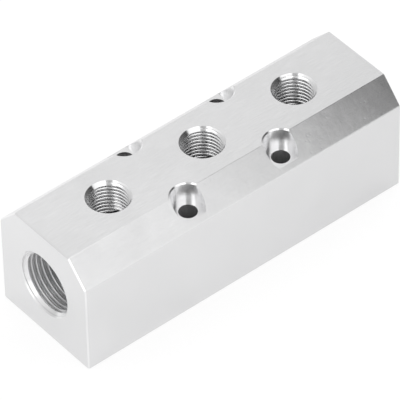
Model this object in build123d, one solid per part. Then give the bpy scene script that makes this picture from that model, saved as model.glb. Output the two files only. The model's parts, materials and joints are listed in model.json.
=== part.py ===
from build123d import *
import os

# Air manifold block: one machined bar of aluminium with a tapped port in each end, a row of tapped ports
# in the top and a pair of counterbored screw holes in each gap of that row. It lies along X with its flat
# base on Z = 0 and the origin under its middle. All lengths are millimetres. The tapped holes are drawn at
# the size of their tapping drill, without the thread.

# The bar
WIDTH = 40.0
HEIGHT = 40.0
CHAMFER_ACROSS = 7.5        # the large chamfer along both upper long edges, measured across the top
CHAMFER_DOWN = 8.0          # the same chamfer, measured down the side
SHOULDER_RADIUS = 1.5       # soft edge between that chamfer and the side
EDGE_BREAK = 0.4            # fine chamfer round both end faces and along the base

# The row of ports in the top
PORT_COUNT = 3
PORT_PITCH = 35.5
END_TO_FIRST_PORT = 25.0
PORT_BORE = 11.8            # tapping drill of a G1/4 thread
PORT_MOUTH = 14.0           # outer diameter of the 90 degree countersink

# The port in each end
END_PORT_BORE = 19.0        # tapping drill of a G1/2 thread
END_PORT_MOUTH = 22.2       # outer diameter of the 90 degree countersink
END_PORT_DEPTH = 17.0       # from the end face to where the tapped bore stops

# The gallery that joins all the ports, left at the size it is drilled before the ends are tapped
GALLERY_BORE = 18.6

# The screw holes
SCREW_HOLE = 5.8            # clearance for an M5 cap screw
SCREW_TO_SIDE = 5.3         # from the axis of the hole to the side of the bar
COUNTERBORE = 10.5
COUNTERBORE_DEPTH = 6.35    # below the top face, which leaves it open through the large chamfer
COUNTERBORE_BREAK = 0.4     # 45 degree edge break where the counterbore meets the top face

# How far each cutter runs past the surface where it goes in or comes out
OVERRUN = 3.0

port_row_length = (PORT_COUNT - 1) * PORT_PITCH
length = port_row_length + 2 * END_TO_FIRST_PORT
port_places = [-port_row_length / 2 + i * PORT_PITCH for i in range(PORT_COUNT)]
gap_middles = [x + PORT_PITCH / 2 for x in port_places[:-1]]
gallery_z = HEIGHT / 2
screw_y = WIDTH / 2 - SCREW_TO_SIDE

# Every hole is cut from a plane on the face that the tool goes in by, with the plane's Z axis pointing out
left_end = Plane(origin=(-length / 2, 0, gallery_z), z_dir=(-1, 0, 0))
right_end = Plane(origin=(length / 2, 0, gallery_z), z_dir=(1, 0, 0))


def top_face_at(x, y):
    """The plane of the top face, with its origin on the axis of a hole."""
    return Plane(origin=(x, y, HEIGHT), z_dir=(0, 0, 1))


def bar():
    """The bar before drilling: its section drawn across Y and Z, and extruded along X."""
    side = WIDTH / 2
    outline = Polyline(
        (-side + EDGE_BREAK, 0),
        (side - EDGE_BREAK, 0),
        (side, EDGE_BREAK),
        (side, HEIGHT - CHAMFER_DOWN),
        (side - CHAMFER_ACROSS, HEIGHT),
        (-side + CHAMFER_ACROSS, HEIGHT),
        (-side, HEIGHT - CHAMFER_DOWN),
        (-side, EDGE_BREAK),
        close=True,
    )
    section = make_face(outline)
    shoulders = section.vertices().group_by(Axis.Y)[-2]
    section = fillet(shoulders, SHOULDER_RADIUS)
    across = Plane(origin=(-length / 2, 0, 0), x_dir=(0, 1, 0), z_dir=(1, 0, 0))
    body = extrude(across * section, amount=length)
    end_faces = body.faces().filter_by(Axis.X)
    return chamfer(end_faces.edges(), EDGE_BREAK)


def turned_cutter(*half_profile):
    """A round cutter, turned about the Z axis from (radius, height) points listed from its tip upwards."""
    tip_height = half_profile[0][1]
    top_height = half_profile[-1][1]
    outline = Polyline((0, tip_height), *half_profile, (0, top_height), close=True)
    return revolve(Plane.XZ * make_face(outline), axis=Axis.Z)


def port_cutter(bore, mouth, depth):
    """A tapping drill and the 90 degree countersink at its mouth."""
    sink = (mouth - bore) / 2
    return turned_cutter(
        (bore / 2, -depth),
        (bore / 2, -sink),
        (mouth / 2 + OVERRUN, OVERRUN),
    )


def screw_cutter():
    """A clearance drill right through the bar, with a flat counterbore for the head of the screw."""
    return turned_cutter(
        (SCREW_HOLE / 2, -HEIGHT - OVERRUN),
        (SCREW_HOLE / 2, -COUNTERBORE_DEPTH),
        (COUNTERBORE / 2, -COUNTERBORE_DEPTH),
        (COUNTERBORE / 2, -COUNTERBORE_BREAK),
        (COUNTERBORE / 2 + COUNTERBORE_BREAK + OVERRUN, OVERRUN),
    )


def gallery_cutter():
    """The long drill that joins the two tapped end bores."""
    return Pos(0, 0, gallery_z) * Rot(0, 90, 0) * Cylinder(GALLERY_BORE / 2, length)


block = bar()
block -= gallery_cutter()

end_port = port_cutter(END_PORT_BORE, END_PORT_MOUTH, END_PORT_DEPTH)
for face in (left_end, right_end):
    block -= face * end_port

top_port = port_cutter(PORT_BORE, PORT_MOUTH, HEIGHT - gallery_z)
for x in port_places:
    block -= top_face_at(x, 0) * top_port

screw_hole = screw_cutter()
for x in gap_middles:
    for y in (-screw_y, screw_y):
        block -= top_face_at(x, y) * screw_hole

os.makedirs("parts", exist_ok=True)
export_step(block, "parts/manifold_block.step")
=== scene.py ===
import json
import math

import bpy
import numpy as np
from mathutils import Matrix, Vector


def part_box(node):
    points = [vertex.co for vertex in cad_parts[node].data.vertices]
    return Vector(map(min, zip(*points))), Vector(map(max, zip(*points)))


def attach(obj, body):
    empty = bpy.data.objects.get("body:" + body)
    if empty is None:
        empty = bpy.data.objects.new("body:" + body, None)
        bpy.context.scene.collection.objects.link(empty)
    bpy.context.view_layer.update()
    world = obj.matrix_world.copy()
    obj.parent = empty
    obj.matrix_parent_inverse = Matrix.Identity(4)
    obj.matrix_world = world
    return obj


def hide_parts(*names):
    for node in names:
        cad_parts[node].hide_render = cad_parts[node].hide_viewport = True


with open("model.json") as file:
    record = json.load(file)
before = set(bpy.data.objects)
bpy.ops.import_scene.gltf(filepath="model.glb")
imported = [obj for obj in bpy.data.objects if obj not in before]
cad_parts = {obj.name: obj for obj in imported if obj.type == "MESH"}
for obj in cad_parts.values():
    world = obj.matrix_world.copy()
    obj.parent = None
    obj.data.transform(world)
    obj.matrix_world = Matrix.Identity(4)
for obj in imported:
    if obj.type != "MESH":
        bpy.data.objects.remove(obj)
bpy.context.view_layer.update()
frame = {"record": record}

MM = 0.001
MICRON = 0.000001

# The block's own sizes come from the frame: its box, and the bores and places of its mounts
NODE = "manifold_block"
LOW, HIGH = (Vector(corner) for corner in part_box(NODE))
MOUNTS = {mount["name"]: mount for mount in frame["record"]["mounts"]}
TOP_PORTS = ["top_port_left", "top_port_middle", "top_port_right"]
END_PORTS = ["end_port_left", "end_port_right"]

# The section of the bar
CHAMFER_ACROSS = 7.5 * MM
CHAMFER_DOWN = 8.0 * MM
SHOULDER_RADIUS = 1.5 * MM
EDGE_BREAK = 0.4 * MM
TOP_EDGE_RADIUS = 0.15 * MM
SMALLEST_RADIUS = 0.02 * MM

# The holes
GALLERY_BORE = 18.6 * MM
TOP_MOUTH = 14.0 * MM
END_MOUTH = 22.2 * MM
END_PORT_DEPTH = 17.0 * MM
COUNTERBORE = 10.5 * MM
COUNTERBORE_DEPTH = 6.35 * MM
COUNTERBORE_BREAK = 0.4 * MM

# The fine step in the countersink of an end port: how deep it lies, and its height and width
STEP_DEPTH = 0.43 * MM
STEP_SIZE = 0.18 * MM

# Parallel pipe threads of 55 degrees: major diameter and pitch
TOP_THREAD = (13.157 * MM, 1.337 * MM)
END_THREAD = (20.955 * MM, 1.814 * MM)
FLANK_ANGLE = math.radians(27.5)

# The radius of a thread's root at a pitch of 1, how much of its crest is rounded, and over which stretch its
# groove grows shallow
ROOT_PER_PITCH = 0.137329
CREST_ROUNDED = 0.95
THREAD_RUN_OUT = 2.5 * MM

# How far round each port its thread starts, in degrees
THREAD_STARTS = {
    "end_port_left": 80,
    "end_port_right": 80,
    "top_port_left": 180,
    "top_port_middle": 180,
    "top_port_right": 204,
}

# How far the cutters reach beyond what they cut
OVERRUN = 3.0 * MM

# How many steps there are in a full turn, plain and threaded, and in an arc of the bar, a crest and a root
FINE_TURN = 192
THREAD_TURN = 72
ARC_STEPS = 6
CREST_STEPS = 4
ROOT_STEPS = 6

# Tool marks: how many there are to a metre across them and along them, and how many streaks there are to one
ACROSS_MARKS = 9000
ALONG_MARKS = 400
STREAK_SCALE = 0.45

# Drifts of tone: how many clouds and specks there are to a metre, and how much a speck counts beside a cloud
CLOUDS = 70
SPECKS = 1600
SPECK_SHARE = 0.35

# The range that nearly all of a cloudy noise lies in, and how much the roughness drifts over it
CLOUDY = (0.3, 0.7)
ROUGHNESS_DRIFT = 0.05

# Slight waves: how many there are to a metre, and their height
WAVES = 250
WAVE_HEIGHT = 0.02 * MM

# Dents: how many cells there are to a metre, the share of cells without one, the reach of the widest, in
# cells, and their depth
DENT_CELLS = 800
DENT_FREE = 0.35
DENT_REACH = 0.35
DENT_DEPTH = 0.009 * MM

# Scratches: how many features their noise has to a metre along each axis, how it is then turned, at which of
# its values a scratch starts and is deepest, and the depth there
SCRATCH_LINES = (2500, 2500, 150)
SCRATCH_TURN = (0.5, 0.9, 0.7)
SCRATCH_RANGE = (0.75, 0.82)
SCRATCH_DEPTH = 0.0015 * MM

# Every metal is slightly bluer than grey
BLUER = 0.005

WHITE = (1, 1, 1, 1)

# The least length that a vector is divided by
LEAST_LENGTH = 1e-9


def add(tree, kind, inputs=None, **settings):
    """A node with those settings. Each of its inputs takes a plain value or the output that feeds it."""
    made = tree.nodes.new(kind)
    for key, value in settings.items():
        setattr(made, key, value)
    for key, value in (inputs or {}).items():
        if isinstance(value, bpy.types.NodeSocket):
            tree.links.new(value, made.inputs[key])
        else:
            made.inputs[key].default_value = value
    return made


def empty_material(name):
    """A new material without any nodes."""
    material = bpy.data.materials.new(name)
    material.use_nodes = True
    material.node_tree.nodes.clear()
    return material


def noise(tree, place, scale, detail):
    """Noise with about so many features to each unit of the place."""
    inputs = {"Vector": place, "Scale": scale, "Detail": detail}
    return add(tree, "ShaderNodeTexNoise", inputs).outputs["Fac"]


def map_range(tree, value, source, target, **settings):
    """The value, carried over from one range to another."""
    inputs = {
        "Value": value,
        "From Min": source[0],
        "From Max": source[1],
        "To Min": target[0],
        "To Max": target[1],
    }
    return add(tree, "ShaderNodeMapRange", inputs, **settings).outputs["Result"]


def weighted(tree, value, weight, rest):
    """So much of the value, added to the rest."""
    inputs = {0: value, 1: weight, 2: rest}
    return add(tree, "ShaderNodeMath", inputs, operation="MULTIPLY_ADD").outputs["Value"]


def add_handling(tree, place, normal):
    """The normal, tilted by slight waves, by small round dents in some cells of the surface, and by fine
    scratches, which are upright on the sides and the ends and no more than pits on top."""
    waves = noise(tree, place, WAVES, detail=3)
    wavy = {"Height": waves, "Distance": WAVE_HEIGHT, "Normal": normal}
    normal = add(tree, "ShaderNodeBump", wavy).outputs["Normal"]

    cells = add(tree, "ShaderNodeTexVoronoi", {"Vector": place, "Scale": DENT_CELLS}).outputs
    chance = add(tree, "ShaderNodeSeparateColor", {"Color": cells["Color"]}).outputs["Red"]
    reach = map_range(tree, chance, (DENT_FREE, 1), (0, DENT_REACH))
    hollow = map_range(tree, cells["Distance"], (0, reach), (-1, 0), interpolation_type="SMOOTHSTEP")
    dented = {"Height": hollow, "Distance": DENT_DEPTH, "Normal": normal}
    normal = add(tree, "ShaderNodeBump", dented).outputs["Normal"]

    stretch = {"Vector": place, "Scale": SCRATCH_LINES, "Rotation": SCRATCH_TURN}
    stretched = add(tree, "ShaderNodeMapping", stretch).outputs["Vector"]
    groove = map_range(tree, noise(tree, stretched, 1, detail=1), SCRATCH_RANGE, (0, -1))
    scratched = {"Height": groove, "Distance": SCRATCH_DEPTH, "Normal": normal}
    return add(tree, "ShaderNodeBump", scratched).outputs["Normal"]


def metal(name, grey, roughness, anisotropy, marks, smudge, handled=False, brushed=0.1):
    """Bare aluminium with tool marks that follow the lay of each surface. marks is how high they are, in
    microns. smudge is how far the tone drifts to either side of its grey, and brushed how much long fine
    streaks count in that drift. A handled surface has waves, dents and scratches too."""
    material = empty_material(name)
    tree = material.node_tree
    lay = add(tree, "ShaderNodeAttribute", attribute_name="lay").outputs["Vector"]
    across = add(tree, "ShaderNodeAttribute", attribute_name="across").outputs["Vector"]
    place = add(tree, "ShaderNodeTexCoord").outputs["Object"]

    streaks = noise(tree, lay, STREAK_SCALE, detail=1)
    clouds = noise(tree, place, CLOUDS, detail=8)
    specks = noise(tree, place, SPECKS, detail=2)
    blotches = weighted(tree, specks, SPECK_SHARE, weighted(tree, streaks, brushed, clouds))
    middle = (1 + brushed + SPECK_SHARE) / 2
    drift = map_range(tree, blotches, (middle - 0.5, middle + 0.5), (0, 1))
    colour = (grey, grey, grey + BLUER)
    tone = add(tree, "ShaderNodeValToRGB", {"Fac": drift})
    tone.color_ramp.elements[0].color = [c * (1 - smudge) for c in colour] + [1]
    tone.color_ramp.elements[1].color = [c * (1 + smudge) for c in colour] + [1]
    smoother = roughness * (1 - ROUGHNESS_DRIFT)
    rougher = roughness * (1 + ROUGHNESS_DRIFT)

    marked = {"Height": noise(tree, lay, 1, detail=4), "Distance": marks * MICRON}
    normal = add(tree, "ShaderNodeBump", marked).outputs["Normal"]
    if handled:
        normal = add_handling(tree, place, normal)

    shader = add(tree, "ShaderNodeBsdfPrincipled", {
        "Base Color": tone.outputs["Color"],
        "Metallic": 1,
        "Roughness": map_range(tree, drift, CLOUDY, (smoother, rougher)),
        "Anisotropic": anisotropy,
        "Tangent": across,
        "Normal": normal,
    })
    add(tree, "ShaderNodeOutputMaterial", {"Surface": shader.outputs["BSDF"]})
    return material


# The outside of the bar: as it is drawn, its milled top, its chamfers, and its edges, which are lighter than
# the faces as a painted highlight
OUTSIDE = {"roughness": 0.26, "anisotropy": 0.3, "marks": 0.05, "handled": True}
BAR = metal("bar", 0.775, smudge=0.04, **OUTSIDE)
TOP = metal("top", 0.79, smudge=0.06, brushed=1.5, **OUTSIDE)
CHAMFER = metal("chamfer", 0.775, smudge=0.13, brushed=0.3, **OUTSIDE)
# The edges' grey, lighter than the bar's, is a painted highlight; their lower roughness sharpens what they
# reflect
EDGE_PAINTED_HIGHLIGHT = metal("edge", 0.83, roughness=0.12, anisotropy=0.3, marks=0.1, smudge=0.1, handled=True)

# The holes: the top ports, the threads of the end ports, what is drilled, the end ports' countersinks with
# the counterbores' floors, and the counterbores' walls
TAPPED = metal("tapped", 0.92, roughness=0.19, anisotropy=0.5, marks=0.1, smudge=0.05)
END_TAPPED = metal("end_tapped", 0.78, roughness=0.44, anisotropy=0.3, marks=0.3, smudge=0.1)
DRILLED = metal("drilled", 0.64, roughness=0.45, anisotropy=0.5, marks=0.8, smudge=0.15)
SEAT = metal("seat", 0.81, roughness=0.25, anisotropy=0.5, marks=0.2, smudge=0.08)
COUNTERBORED = metal("counterbored", 0.97, roughness=0.25, anisotropy=0.85, marks=0.2, smudge=0.03)


def plain_object(name, points, faces, materials, kinds=None):
    """A mesh object. kinds says which of the materials each face has, and without it all have the first."""
    mesh = bpy.data.meshes.new(name)
    mesh.from_pydata([tuple(p) for p in points], [], faces)
    for material in materials:
        mesh.materials.append(material)
    if kinds:
        mesh.polygons.foreach_set("material_index", kinds)
    made = bpy.data.objects.new(name, mesh)
    bpy.context.scene.collection.objects.link(made)
    return made


def put(mesh, name, values):
    """Stores one vector for every corner of every face."""
    attribute = mesh.attributes.get(name) or mesh.attributes.new(name, "FLOAT_VECTOR", "CORNER")
    attribute.data.foreach_set("vector", np.asarray(values, np.float32).ravel())


def get(mesh, name):
    """The vectors that put stored."""
    values = np.empty(3 * len(mesh.loops), np.float32)
    mesh.attributes[name].data.foreach_get("vector", values)
    return values.reshape(-1, 3)


def unit(vectors):
    """The same vectors, each of length 1."""
    return vectors / np.maximum(np.linalg.norm(vectors, axis=1, keepdims=True), LEAST_LENGTH)


def bar_section(inset):
    """The section of the bar in (y, z), counter-clockwise, moved in by that distance. Each point comes with
    the normals of the faces that arrive there and leave there, and the material of the one that leaves."""
    side = HIGH.y
    top = HIGH.z

    # Each corner: its place, its radius, and the materials of its arc and of the face that leaves it
    corners = [
        (Vector((-side + EDGE_BREAK, 0)), 0, None, BAR),
        (Vector((side - EDGE_BREAK, 0)), 0, None, EDGE_PAINTED_HIGHLIGHT),
        (Vector((side, EDGE_BREAK)), 0, None, BAR),
        (Vector((side, top - CHAMFER_DOWN)), SHOULDER_RADIUS, BAR, CHAMFER),
        (Vector((side - CHAMFER_ACROSS, top)), TOP_EDGE_RADIUS, EDGE_PAINTED_HIGHLIGHT, TOP),
        (Vector((-side + CHAMFER_ACROSS, top)), TOP_EDGE_RADIUS, EDGE_PAINTED_HIGHLIGHT, CHAMFER),
        (Vector((-side, top - CHAMFER_DOWN)), SHOULDER_RADIUS, BAR, BAR),
        (Vector((-side, EDGE_BREAK)), 0, None, EDGE_PAINTED_HIGHLIGHT),
    ]
    section = []
    for i, (corner, radius, arc_material, face_material) in enumerate(corners):
        into = (corner - corners[i - 1][0]).normalized()
        out = (corners[(i + 1) % len(corners)][0] - corner).normalized()
        arriving = Vector((into.y, -into.x))
        leaving = Vector((out.y, -out.x))
        corner = corner - (arriving + leaving) * inset / (1 + arriving.dot(leaving))
        if not radius:
            section.append((corner, arriving, leaving, face_material))
            continue
        radius = max(radius - inset, SMALLEST_RADIUS)
        turn = arriving.angle(leaving)
        centre = corner - into * radius * math.tan(turn / 2) - arriving * radius
        for k in range(ARC_STEPS + 1):
            spoke = arriving.copy()
            spoke.rotate(Matrix.Rotation(turn * k / ARC_STEPS, 2))
            material = arc_material if k < ARC_STEPS else face_material
            section.append((centre + spoke * radius, spoke, spoke, material))
    return section


def bar():
    """The bar before drilling, with its fine chamfer round both end faces. Its marks run along the long
    faces and across the ends."""
    full = bar_section(0)
    small = bar_section(EDGE_BREAK)
    rings = [
        (LOW.x, small),
        (LOW.x + EDGE_BREAK, full),
        (HIGH.x - EDGE_BREAK, full),
        (HIGH.x, small),
    ]
    points = [(x, place.x, place.y) for x, section in rings for place, _, _, _ in section]
    count = len(full)
    faces = [tuple(range(count))[::-1], tuple(range(3 * count, 4 * count))]
    normals = [(-1, 0, 0)] * count + [(1, 0, 0)] * count
    face_materials = [BAR, BAR]
    for ring, lean in enumerate((-1, 0, 1)):
        for i in range(count):
            j = (i + 1) % count
            a = ring * count + i
            b = ring * count + j
            faces.append((a, b, b + count, a + count))
            leaving = (lean, *full[i][2])
            arriving = (lean, *full[j][1])
            normals += [leaving, arriving, arriving, leaving]
            # The fine chamfers round the end faces take the edge material, whose lighter grey is a painted
            # highlight
            face_materials.append(EDGE_PAINTED_HIGHLIGHT if lean else full[i][3])
    materials = [BAR, EDGE_PAINTED_HIGHLIGHT, TOP, CHAMFER]
    kinds = [materials.index(material) for material in face_materials]
    made = plain_object("bar", points, faces, materials, kinds)

    place = np.array([points[i] for face in faces for i in face])
    normals = unit(np.array(normals, float))
    long_face = normals[:, :1] == 0
    long_lay = place[:, (1, 2, 0)] * (ACROSS_MARKS, ACROSS_MARKS, ALONG_MARKS)
    end_lay = place[:, (2, 0, 1)] * (ACROSS_MARKS, ACROSS_MARKS, ALONG_MARKS)
    put(made.data, "exact", normals)
    put(made.data, "along", np.where(long_face, (1, 0, 0), (0, 1, 0)))
    put(made.data, "lay", np.where(long_face, long_lay, end_lay))
    return made


def round_object(name, points, faces, slopes, materials, kinds=None, lead=0):
    """A closed body about Z with marks that run round it. slopes holds, for every corner of every face, how
    far its normal leans outwards and upwards, and lead is how far its surface climbs in one turn."""
    made = plain_object(name, points, faces, materials, kinds)
    place = np.array([points[i] for face in faces for i in face])
    slopes = np.array(slopes, float)
    radius = np.maximum(np.hypot(place[:, :1], place[:, 1:2]), LEAST_LENGTH)
    outward = place * (1, 1, 0) / radius
    around = np.cross((0, 0, 1), outward)
    climb = lead / (2 * math.pi * radius)
    put(made.data, "exact", unit(slopes[:, :1] * outward + slopes[:, 1:] * ((0, 0, 1) - climb * around)))
    put(made.data, "along", unit(around + climb * (0, 0, 1)))
    lay = np.hstack((radius + place[:, 2:], place[:, :2]))
    put(made.data, "lay", lay * (ACROSS_MARKS, ALONG_MARKS, ALONG_MARKS))
    return made


def turned(name, profile, *materials):
    """A closed round body about Z, from (radius, height) points listed upwards from its lower end. The first
    material covers the lowest segment and the lower end, the next one the next segment, and the last one all
    that is left and the upper end."""
    count = len(profile)
    points = []
    for i in range(FINE_TURN):
        angle = 2 * math.pi * i / FINE_TURN
        points += [(r * math.cos(angle), r * math.sin(angle), z) for r, z in profile]
    foot = len(points)
    head = foot + 1
    points.append((0, 0, profile[0][1]))
    points.append((0, 0, profile[-1][1]))
    faces = []
    slopes = []
    for i in range(FINE_TURN):
        a = i * count
        b = (i + 1) % FINE_TURN * count
        faces.append((foot, b, a))
        slopes += [(0, -1)] * 3
        faces.append((head, a + count - 1, b + count - 1))
        slopes += [(0, 1)] * 3
        for k in range(count - 1):
            faces.append((a + k, b + k, b + k + 1, a + k + 1))
            out = profile[k + 1][0] - profile[k][0]
            up = profile[k + 1][1] - profile[k][1]
            slopes += [(up, -out)] * 4
    last = len(materials) - 1
    kinds = [0, last] + [min(k, last) for k in range(count - 1)]
    return round_object(name, points, faces, slopes, materials, kinds * FINE_TURN)


def thread_profile(major, pitch, bore):
    """One pitch of a thread groove from below upwards. Each point is its height, its radius, and how far its
    normal leans outwards and upwards. The root is rounded as the standard draws it, and the crest nearly all
    over."""
    root = ROOT_PER_PITCH * pitch
    steepest = math.pi / 2 - FLANK_ANGLE
    flank_top = major / 2 - root + root * math.sin(FLANK_ANGLE)
    half_groove = root * math.cos(FLANK_ANGLE) + (flank_top - bore / 2) * math.tan(FLANK_ANGLE)
    half_crest = (pitch / 2 - half_groove) * CREST_ROUNDED
    crest = half_crest / math.tan(steepest / 2)

    # Each point lies on an arc: the height and the radius of the arc's centre, its spoke, and how it leans
    arcs = []
    for k in range(CREST_STEPS + 1):
        arcs.append((-half_groove - half_crest, bore / 2 + crest, -crest, -steepest * k / CREST_STEPS))
    for k in range(ROOT_STEPS + 1):
        arcs.append((0, major / 2 - root, root, steepest * (2 * k / ROOT_STEPS - 1)))
    for k in range(CREST_STEPS + 1):
        arcs.append((half_groove + half_crest, bore / 2 + crest, -crest, steepest * (1 - k / CREST_STEPS)))
    profile = []
    for height, radius, spoke, lean in arcs:
        outward = math.cos(lean)
        upward = math.sin(lean)
        profile.append((height + spoke * upward, radius + spoke * outward, (outward, upward)))
    return profile


def tap(thread, bore, deep, material):
    """A closed threaded body about Z: a right-hand thread from above the mouth at Z = 0 down to its depth.
    Over the last stretch the groove grows shallow, and ends in the plain bore."""
    major, pitch = thread
    groove = thread_profile(major, pitch, bore)
    rows = len(groove)
    knots = rows * (math.ceil((deep + OVERRUN) / pitch) + 1)
    start = -deep - pitch
    points = []
    slope_at = []
    for i in range(THREAD_TURN):
        angle = 2 * math.pi * i / THREAD_TURN
        for k in range(knots):
            height, r, slope = groove[k % rows]
            z = start + pitch * (k // rows + i / THREAD_TURN) + height
            run_out = min(1, max(0, (THREAD_RUN_OUT - deep - z) / THREAD_RUN_OUT))
            r -= run_out * (major - bore) / 2
            points.append((max(bore / 2, r) * math.cos(angle), max(bore / 2, r) * math.sin(angle), z))
            slope_at.append(slope if r > bore / 2 else (1, 0))

    def vertex(i, k):
        """The vertex at a step round and a knot up: a full turn is one pitch higher."""
        return i * knots + k if i < THREAD_TURN else k + rows

    faces = []
    for i in range(THREAD_TURN):
        last = knots - 1 if i < THREAD_TURN - 1 else knots - 1 - rows
        for k in range(last):
            faces.append((vertex(i, k), vertex(i + 1, k), vertex(i + 1, k + 1), vertex(i, k + 1)))
    around = range(THREAD_TURN)
    lower = [vertex(0, k) for k in range(1, rows + 1)] + [vertex(i, 0) for i in reversed(around)]
    last_column = range(knots - 2, knots - 2 - rows, -1)
    upper = [vertex(i, knots - 1) for i in around] + [vertex(THREAD_TURN - 1, k) for k in last_column]
    for loop in (lower, upper):
        points.append((0, 0, points[loop[0]][2]))
        slope_at.append((0, 1))
        hub = len(points) - 1
        faces += [(hub, a, b) for a, b in zip(loop, loop[1:] + loop[:1])]
    slopes = [slope_at[v] for face in faces for v in face]
    body = round_object("tap", points, faces, slopes, [material], lead=pitch)
    below = turned("below", [(major, start - 2 * pitch), (major, -deep)], material)
    cut(body, below)
    return body


def cut(target, tool):
    """Cuts the target with the tool, and deletes the tool."""
    modifier = target.modifiers.new("cut", "BOOLEAN")
    modifier.operation = "DIFFERENCE"
    modifier.solver = "MANIFOLD"
    modifier.material_mode = "TRANSFER"
    modifier.object = tool
    graph = bpy.context.evaluated_depsgraph_get()
    made = bpy.data.meshes.new_from_object(target.evaluated_get(graph))
    target.modifiers.clear()
    old = target.data
    target.data = made
    bpy.data.meshes.remove(old)
    bpy.data.objects.remove(tool)


def move(tool, matrix):
    """Moves a tool, turns the directions that its corners carry, and shifts its marks so that no two tools
    of a kind leave the same ones."""
    mesh = tool.data
    mesh.transform(matrix)
    turn = np.array(matrix.to_3x3())
    put(mesh, "exact", get(mesh, "exact") @ turn.T)
    put(mesh, "along", get(mesh, "along") @ turn.T)
    put(mesh, "lay", get(mesh, "lay") + ACROSS_MARKS * np.array(matrix.to_translation()))
    return tool


def port_tools(mount, thread, mouth, deep, thread_material, sink_material, stepped=False):
    """The tap and the countersink of one port, in place on the face that its mount points out of."""
    bore = 2 * MOUNTS[mount]["dims"]["r_mm"] * MM
    sink = (mouth - bore) / 2
    cone = [(bore / 2 - sink, -2 * sink), (mouth / 2 + sink, sink)]
    if stepped:
        wall = mouth / 2 - STEP_DEPTH
        low = -STEP_DEPTH - STEP_SIZE
        cone[1:1] = [(wall - STEP_SIZE, low), (wall, low), (wall, -STEP_DEPTH)]
    axis = Vector(MOUNTS[mount]["axis"])
    at = Vector(MOUNTS[mount]["pos_m"])
    face = HIGH if sum(axis) > 0 else LOW
    at += axis * (abs(face.dot(axis)) - at.dot(axis))
    matrix = Matrix.Translation(at) @ Vector((0, 0, 1)).rotation_difference(axis).to_matrix().to_4x4()
    start = Matrix.Rotation(math.radians(THREAD_STARTS[mount]), 4, "Z")
    return [
        move(tap(thread, bore, deep, thread_material), matrix @ start),
        move(turned("countersink", cone, sink_material), matrix),
    ]


def screw_tools():
    """The stepped cutters of the four screw holes, in place."""
    dims = MOUNTS["screw_holes"]["dims"]
    hole = dims["hole_r_mm"] * MM
    wide = COUNTERBORE / 2
    profile = [
        (hole, -HIGH.z - OVERRUN),
        (hole, -COUNTERBORE_DEPTH),
        (wide, -COUNTERBORE_DEPTH),
        (wide, -COUNTERBORE_BREAK),
        (wide + COUNTERBORE_BREAK + OVERRUN, OVERRUN),
    ]
    tools = []
    for x in (-0.5, 0.5):
        for y in (-0.5, 0.5):
            centre = (x * dims["spacing_x_mm"] * MM, y * dims["spacing_y_mm"] * MM, HIGH.z)
            tool = turned("screw_hole", profile, DRILLED, SEAT, COUNTERBORED)
            tools.append(move(tool, Matrix.Translation(centre)))
    return tools


def gallery_tool(height):
    """The long drill of the gallery, in place at that height."""
    radius = GALLERY_BORE / 2
    drill = turned("gallery", [(radius, LOW.x - OVERRUN), (radius, HIGH.x + OVERRUN)], DRILLED)
    return move(drill, Matrix.Translation((0, 0, height)) @ Matrix.Rotation(math.pi / 2, 4, "Y"))


def face_out(mesh):
    """Gives every surface the exact normal that its tool had, turned to face out of the block."""
    sizes = np.empty(len(mesh.polygons), int)
    mesh.polygons.foreach_get("loop_total", sizes)
    flat = np.empty(3 * len(mesh.polygons))
    mesh.polygons.foreach_get("normal", flat)
    flat = np.repeat(flat.reshape(-1, 3), sizes, axis=0)
    exact = unit(get(mesh, "exact"))
    exact *= np.where((exact * flat).sum(axis=1, keepdims=True) < 0, -1, 1)
    put(mesh, "across", unit(np.cross(exact, get(mesh, "along"))))
    mesh.shade_smooth()
    mesh.normals_split_custom_set(exact)


def threaded_block():
    """The whole block: the bar, cut by the gallery drill, the taps, the countersinks and the cutters of the
    screw holes."""
    gallery_height = MOUNTS[END_PORTS[0]]["pos_m"][2]
    block = bar()
    block.name = "threaded_block"
    tools = [gallery_tool(gallery_height)]
    for mount in END_PORTS:
        tools += port_tools(mount, END_THREAD, END_MOUTH, END_PORT_DEPTH, END_TAPPED, SEAT, stepped=True)
    for mount in TOP_PORTS:
        tools += port_tools(mount, TOP_THREAD, TOP_MOUTH, HIGH.z - gallery_height, TAPPED, TAPPED)
    tools += screw_tools()
    for tool in tools:
        cut(block, tool)
    face_out(block.data)
    return block


block = threaded_block()
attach(block, "root")
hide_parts(NODE)

# Camera: where it stands, measured from the point that it looks at, the roll that the photograph has, and
# how near and how far it sees, in metres
CAMERA_TARGET = Vector((-1.320, 0.0, 17.175)) * MM
CAMERA_AZIMUTH = math.radians(-38.919)
CAMERA_ELEVATION = math.radians(43.956)
CAMERA_ROLL = math.radians(-1.203)
CAMERA_DISTANCE = 1392.2 * MM
CAMERA_LENS = 421.18
CAMERA_NEAREST = 0.05
CAMERA_FARTHEST = 20


def towards(azimuth, elevation):
    """The direction at that azimuth, from -Y towards +X, and that elevation, both in radians."""
    return Vector((
        math.sin(azimuth) * math.cos(elevation),
        -math.cos(azimuth) * math.cos(elevation),
        math.sin(elevation),
    ))


def add_camera():
    """The camera at the photograph's angle."""
    camera = bpy.data.objects.new("camera", bpy.data.cameras.new("camera"))
    camera.data.lens = CAMERA_LENS
    camera.data.clip_start = CAMERA_NEAREST
    camera.data.clip_end = CAMERA_FARTHEST
    bpy.context.scene.collection.objects.link(camera)
    back = towards(CAMERA_AZIMUTH, CAMERA_ELEVATION)
    right = (-back).cross(Vector((0, 0, 1))).normalized()
    facing = Matrix((right, back.cross(right), back)).transposed().to_4x4()
    roll = Matrix.Rotation(CAMERA_ROLL, 4, "Z")
    camera.matrix_world = Matrix.Translation(CAMERA_TARGET + back * CAMERA_DISTANCE) @ facing @ roll
    bpy.context.scene.camera = camera


add_camera()

# How many steps a studio card has each way
CARD_STEPS = 24


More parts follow.
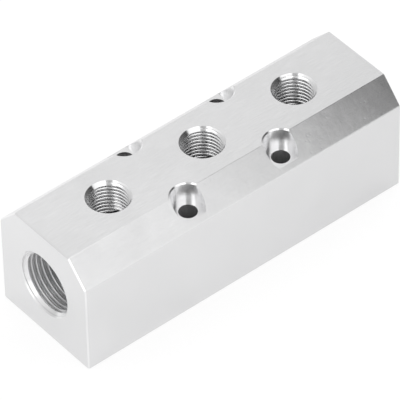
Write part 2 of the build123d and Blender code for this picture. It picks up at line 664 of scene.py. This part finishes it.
def card_material(name):
    """Light with the level that each point of a card has, as solid as the card is there."""
    material = empty_material(name)
    material.cycles.emission_sampling = "NONE"
    tree = material.node_tree
    solid = add(tree, "ShaderNodeAttribute", attribute_name="cover").outputs["Fac"]
    level = add(tree, "ShaderNodeAttribute", attribute_name="glow").outputs["Fac"]
    clear = add(tree, "ShaderNodeBsdfTransparent").outputs["BSDF"]
    light = add(tree, "ShaderNodeEmission", {"Strength": level}).outputs["Emission"]
    mix = add(tree, "ShaderNodeMixShader", {0: solid, 1: clear, 2: light}).outputs["Shader"]
    add(tree, "ShaderNodeOutputMaterial", {"Surface": mix})
    return material


def card(name, azimuths, elevations, distance, levels, side_fade=4, end_fade=4):
    """A curved studio card that only the block's reflections see. It spans those azimuths, in degrees to the
    right of the camera's, and those elevations. levels says how bright it is at its first and its last
    azimuth. It fades out over that many degrees at its sides, and at its lower and upper ends."""
    points = []
    cover = []
    glow = []
    for azimuth in np.linspace(*azimuths, CARD_STEPS + 1):
        for elevation in np.linspace(*elevations, CARD_STEPS + 1):
            way = towards(CAMERA_AZIMUTH + math.radians(azimuth), math.radians(elevation))
            points.append(way * distance)
            to_side = min(azimuth - azimuths[0], azimuths[1] - azimuth)
            to_end = min(elevation - elevations[0], elevations[1] - elevation)
            cover.append(min(1, to_side / side_fade, to_end / end_fade))
            glow.append(np.interp(azimuth, azimuths, levels))
    faces = []
    for i in range(CARD_STEPS):
        for k in range(CARD_STEPS):
            a = i * (CARD_STEPS + 1) + k
            b = a + CARD_STEPS + 1
            faces.append((a, b, b + 1, a + 1))
    made = plain_object(name, points, faces, [card_material(name)])
    made.data.attributes.new("cover", "FLOAT", "POINT").data.foreach_set("value", cover)
    made.data.attributes.new("glow", "FLOAT", "POINT").data.foreach_set("value", glow)
    made.visible_camera = False
    made.visible_diffuse = False
    made.visible_shadow = False


# Each card: its azimuths, its elevations, its distance in metres and its levels, and how it fades where that
# isn't over 4 degrees
card("camera_gap", (-26, 12), (22, 82), 1.8, (0.45, 0.45))
card("camera_gap_low", (-14, 13), (-2, 28), 1.8, (0.45, 0.45))
card("overhead_gap", (-90, 90), (80, 89.9), 1.8, (0.4, 0.4), 1, 1)
card("left_box", (-84, -46), (-2, 64), 1.9, (0.87, 0.98))
card("left_box_near", (-50, -10), (-2, 64), 1.9, (1.5, 1.5))
card("right_box", (5, 98), (-2, 64), 1.9, (1.32, 0.95))
card("left_top_box", (-115, -25), (60, 82), 1.1, (1.8, 1.8))
card("right_top_box", (25, 150), (60, 82), 1.1, (1.8, 1.8))
card("left_fill", (-155, -80), (-3, 64), 1.3, (0.5, 0.88))
card("right_flag", (73.9, 90), (-6, 66), 0.42, (0.04, 0.04), 4, 16)
card("right_flag_low", (82, 150), (-6, 50), 0.43, (0.06, 0.22))
card("right_flag_high", (86, 155), (40, 70), 0.44, (0.1, 0.1))
card("back_right", (140, 180), (8, 62), 1.3, (0.87, 0.87))
card("back_left", (-184, -150), (8, 62), 1.35, (0.94, 0.94))

# Even white light from all round
world = bpy.data.worlds.new("world")
bpy.context.scene.world = world
world.use_nodes = True
world.node_tree.nodes["Background"].inputs["Color"].default_value = WHITE

# The floor: how far it reaches, how white it is for the light that it throws back, for the metal and for the
# camera, how brightly the camera sees it glow, and how the metal sees that glow fade from one X to another
FLOOR_REACH = 3
FLOOR_WHITE = 0.9
FLOOR_WHITE_REFLECTED = 0.5
FLOOR_WHITE_SEEN = 0.3
FLOOR_GLOW_SEEN = 0.75
FLOOR_GLOW_REFLECTED = (0.56, 0.46)
FLOOR_FADE = (-10 * MM, 90 * MM)


def matt(tree, white):
    """A matt surface of that whiteness, which takes shadows."""
    return add(tree, "ShaderNodeBsdfDiffuse", {"Color": (white, white, white, 1)}).outputs["BSDF"]


def glowing(tree, white, strength):
    """A matt surface that glows too, so that a shadow shows only as far as it is white."""
    light = add(tree, "ShaderNodeEmission", {"Strength": strength}).outputs["Emission"]
    return add(tree, "ShaderNodeAddShader", {0: matt(tree, white), 1: light}).outputs["Shader"]


def floor_material():
    """A white floor. The camera and the metal see it glow as a light table does, with the block's shadow on
    it, and the metal sees the glow fade towards +X."""
    material = empty_material("floor")
    tree = material.node_tree
    place = add(tree, "ShaderNodeTexCoord").outputs["Object"]
    along = add(tree, "ShaderNodeSeparateXYZ", {"Vector": place}).outputs["X"]
    faded = map_range(tree, along, FLOOR_FADE, FLOOR_GLOW_REFLECTED)
    reflected = glowing(tree, FLOOR_WHITE_REFLECTED, faded)
    seen = glowing(tree, FLOOR_WHITE_SEEN, FLOOR_GLOW_SEEN)
    path = add(tree, "ShaderNodeLightPath").outputs
    unseen = {0: path["Is Glossy Ray"], 1: matt(tree, FLOOR_WHITE), 2: reflected}
    unseen = add(tree, "ShaderNodeMixShader", unseen).outputs["Shader"]
    surface = {0: path["Is Camera Ray"], 1: unseen, 2: seen}
    surface = add(tree, "ShaderNodeMixShader", surface).outputs["Shader"]
    add(tree, "ShaderNodeOutputMaterial", {"Surface": surface})
    return material


FLOOR_CORNERS = [(x * FLOOR_REACH, y * FLOOR_REACH, 0) for x, y in ((-1, -1), (1, -1), (1, 1), (-1, 1))]
floor = plain_object("floor", FLOOR_CORNERS, [(0, 1, 2, 3)], [floor_material()])

bpy.context.scene.view_settings.view_transform = "Standard"
